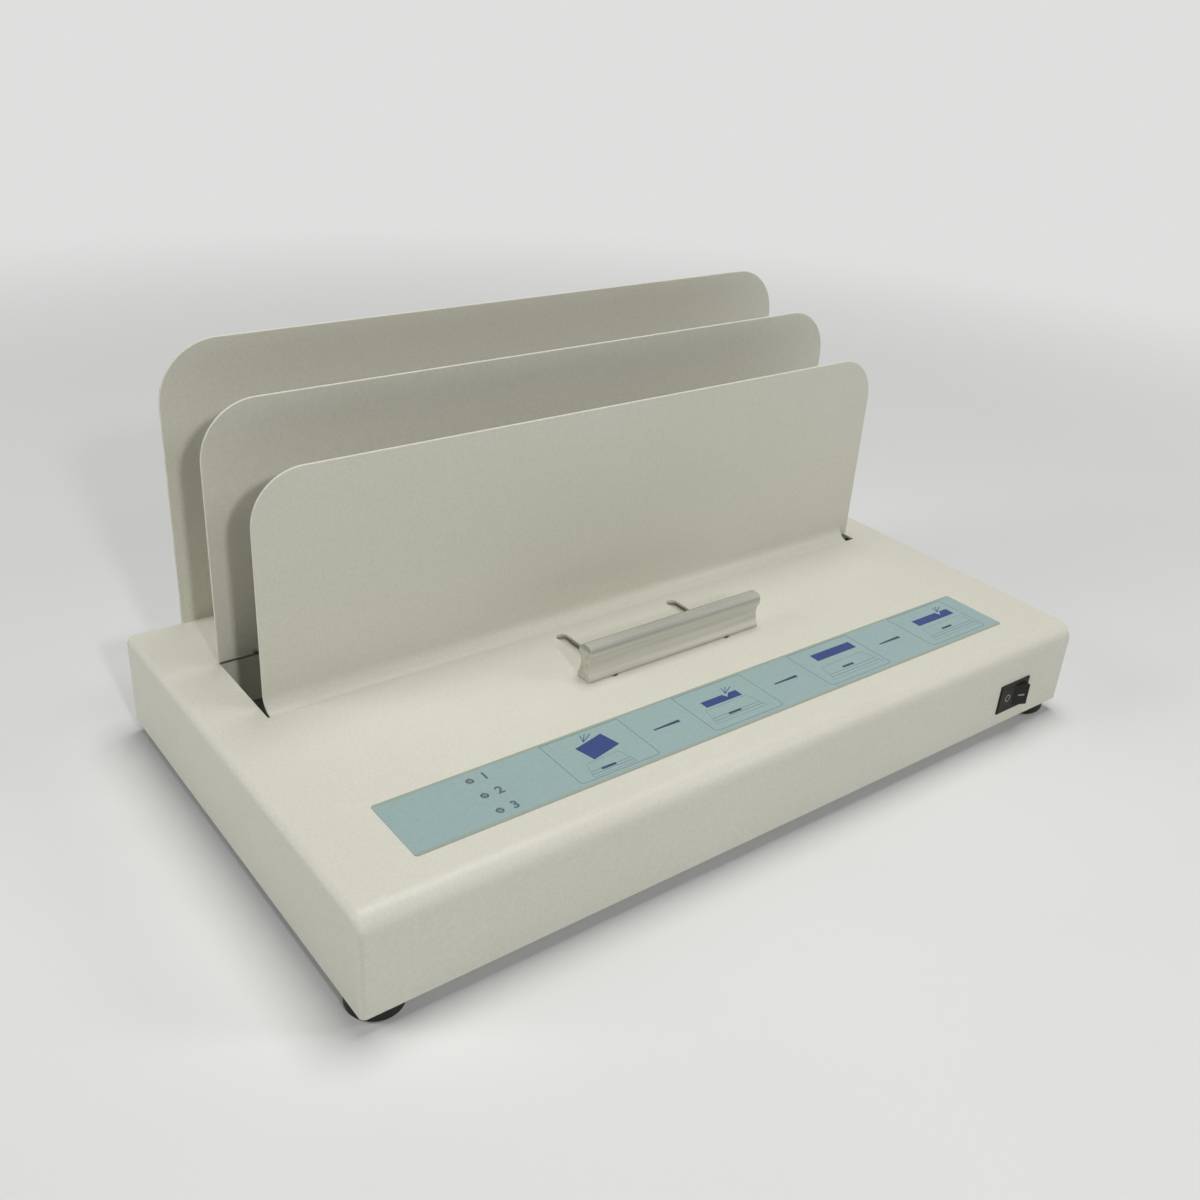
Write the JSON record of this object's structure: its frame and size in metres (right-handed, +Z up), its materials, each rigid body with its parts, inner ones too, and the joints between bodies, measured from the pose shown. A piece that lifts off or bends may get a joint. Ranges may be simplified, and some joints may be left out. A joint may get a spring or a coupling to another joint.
{
  "type": "perfect binding machine",
  "caption": "Desk thermal binding machine: low steel housing with a heated trough, upright plates rising to the rear, a sliding clamp with a bar handle, a rocker switch and rubber feet.",
  "frame": {"origin": "on the table, under the middle of the housing", "axes": "+Z up, the machine's front with the switch faces -Y, +X to the right of someone at its front"},
  "size_m": [0.38, 0.2188, 0.173],
  "materials": {
    "cream_paint": "satin off-white powder coat",
    "zinc_steel": "bright zinc plate",
    "satin_aluminium": "satin anodised extrusion",
    "plate_aluminium": "dark non-stick coat",
    "black_rubber": "matt",
    "black_plastic": "semi-gloss moulded",
    "label_film": "printed polycarbonate film",
    "lamp_lens": "tinted clear lens",
    "board_green": "glass-fibre laminate",
    "component_dark": "moulded",
    "component_blue": "moulded",
    "ceramic_white": "matt fibre and mica",
    "brass_pin": "nickel-flashed",
    "nylon_white": "nylon",
    "lead_brown": "insulated lead",
    "lead_black": "insulated lead"
  },
  "bodies": {
    "housing": {"top_cover": "cream_paint", "front_plate": "cream_paint", "plate_rack": "cream_paint", "rack_studs": "zinc_steel", "rack_nuts": "zinc_steel", "base_plate": "zinc_steel", "screw_tabs": "zinc_steel", "base_screws": "zinc_steel", "rubber_feet": "black_rubber", "foot_screws": "zinc_steel", "foot_nuts": "zinc_steel", "guide_rails": "zinc_steel", "heater_tray": "cream_paint", "insulation_board": "ceramic_white", "heater_element": "ceramic_white", "heating_plate": "plate_aluminium", "tray_spacers": "satin_aluminium", "tray_screws": "zinc_steel", "thermostat": "ceramic_white", "thermal_fuse": "satin_aluminium", "switch_body": "black_plastic", "power_inlet": "black_plastic", "inlet_pins": "brass_pin", "inlet_terminals": "brass_pin", "label_strip": "label_film", "indicator_lamps": "lamp_lens", "lamp_board": "board_green", "lamp_board_studs": "zinc_steel", "lamp_board_nuts": "zinc_steel", "control_board": "board_green", "board_spacers": "nylon_white", "board_screws": "zinc_steel", "transformer": "component_dark", "relay": "component_blue", "buzzer": "component_dark", "capacitors": "component_dark", "controller_chip": "component_dark", "terminal_block": "component_blue", "lamp_connector": "nylon_white", "mains_lead": "lead_brown", "neutral_lead": "lead_brown", "live_lead": "lead_brown", "heater_lead": "lead_brown", "lamp_lead": "lead_black"},
    "clamp": {"pull_handle": "satin_aluminium", "handle_screws": "zinc_steel", "slot_bushes": "nylon_white", "carriage_plate": "cream_paint", "clamp_jaw": "zinc_steel", "jaw_rivets": "satin_aluminium"},
    "rocker": {"switch_rocker": "black_plastic"}
  },
  "joints": [
    {"name": "clamp_slide", "type": "slide", "parent": "housing", "child": "clamp", "axis": [0, 1, 0], "range_m": [-0.002, 0.0338]},
    {"name": "switch_rock", "type": "hinge", "parent": "housing", "child": "rocker", "pos_m": [0.1504, -0.1053, 0.0212], "axis": [0, 0, 1], "range_deg": [0, 22]}
  ]
}
